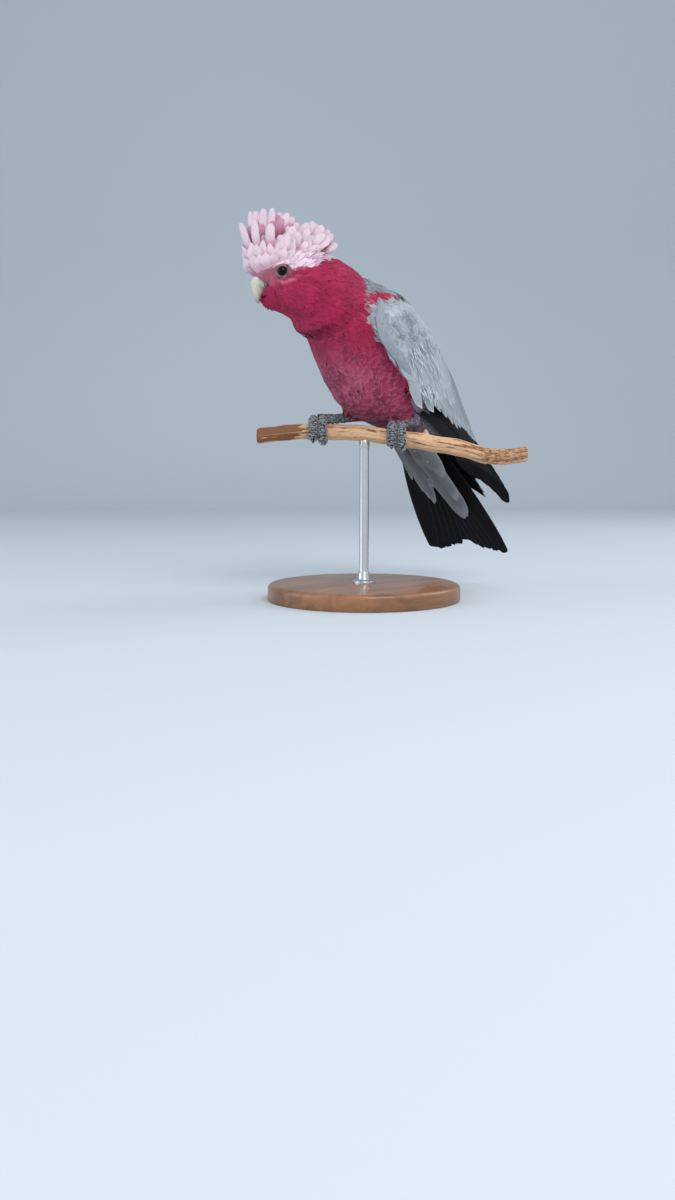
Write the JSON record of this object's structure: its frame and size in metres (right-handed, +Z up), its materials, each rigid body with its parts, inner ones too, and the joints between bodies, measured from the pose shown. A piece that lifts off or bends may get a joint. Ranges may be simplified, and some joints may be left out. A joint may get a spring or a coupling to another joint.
{
  "type": "galah display model",
  "caption": "Still life-size galah, a pink and grey cockatoo with its crest raised, gripping a cut branch on a round display stand.",
  "frame": {"origin": "centre of the underside of the stand's round base, where it meets the table", "axes": "+Z up, -Y the way the bird's body faces, +X to the bird's left; the head is turned 46 degrees to its right"},
  "size_m": [0.1832, 0.2855, 0.3139],
  "materials": {
    "rose_plumage": "soft deep rose feathers, crimson on the face and paler on the belly",
    "pale_crest": "pale pink-white crest feathers with rose bases",
    "bill_horn": "bone-coloured horn, slightly worn",
    "eye": "wet dark brown",
    "grey_plumage": "soft mid-grey feathers",
    "wing_plumage": "pale blue-grey wing coverts with light edges",
    "tail_quills": "stiff near-black flight feathers with a faint sheen",
    "thigh_plumage": "soft grey feathers tinged with lilac",
    "foot_scales": "dark grey scales with pale dusty edges",
    "claw_horn": "near-black horn",
    "peeled_branch": "peeled tan wood with brown bark left on it",
    "stand_steel": "satin round bar",
    "stand_wood": "dark turned hardwood, satin"
  },
  "bodies": {
    "root": {"head": "rose_plumage", "neck": "rose_plumage", "trunk": "rose_plumage", "crest_front": "pale_crest", "crest_rear": "pale_crest", "bill_upper": "bill_horn", "bill_lower": "bill_horn", "eye_left": "eye", "eye_right": "eye", "back": "grey_plumage", "undertail_coverts": "grey_plumage", "tail": "tail_quills", "wing_left_coverts": "wing_plumage", "wing_left_secondaries": "wing_plumage", "wing_left_primaries": "tail_quills", "thigh_left": "thigh_plumage", "tarsus_left": "foot_scales", "toe_1_left": "foot_scales", "toe_2_left": "foot_scales", "toe_3_left": "foot_scales", "toe_4_left": "foot_scales", "claw_1_left": "claw_horn", "claw_2_left": "claw_horn", "claw_3_left": "claw_horn", "claw_4_left": "claw_horn", "wing_right_coverts": "wing_plumage", "wing_right_secondaries": "wing_plumage", "wing_right_primaries": "tail_quills", "thigh_right": "thigh_plumage", "tarsus_right": "foot_scales", "toe_1_right": "foot_scales", "toe_2_right": "foot_scales", "toe_3_right": "foot_scales", "toe_4_right": "foot_scales", "claw_1_right": "claw_horn", "claw_2_right": "claw_horn", "claw_3_right": "claw_horn", "claw_4_right": "claw_horn", "perch": "peeled_branch", "stand_rod": "stand_steel", "stand_base": "stand_wood"}
  },
  "joints": []
}
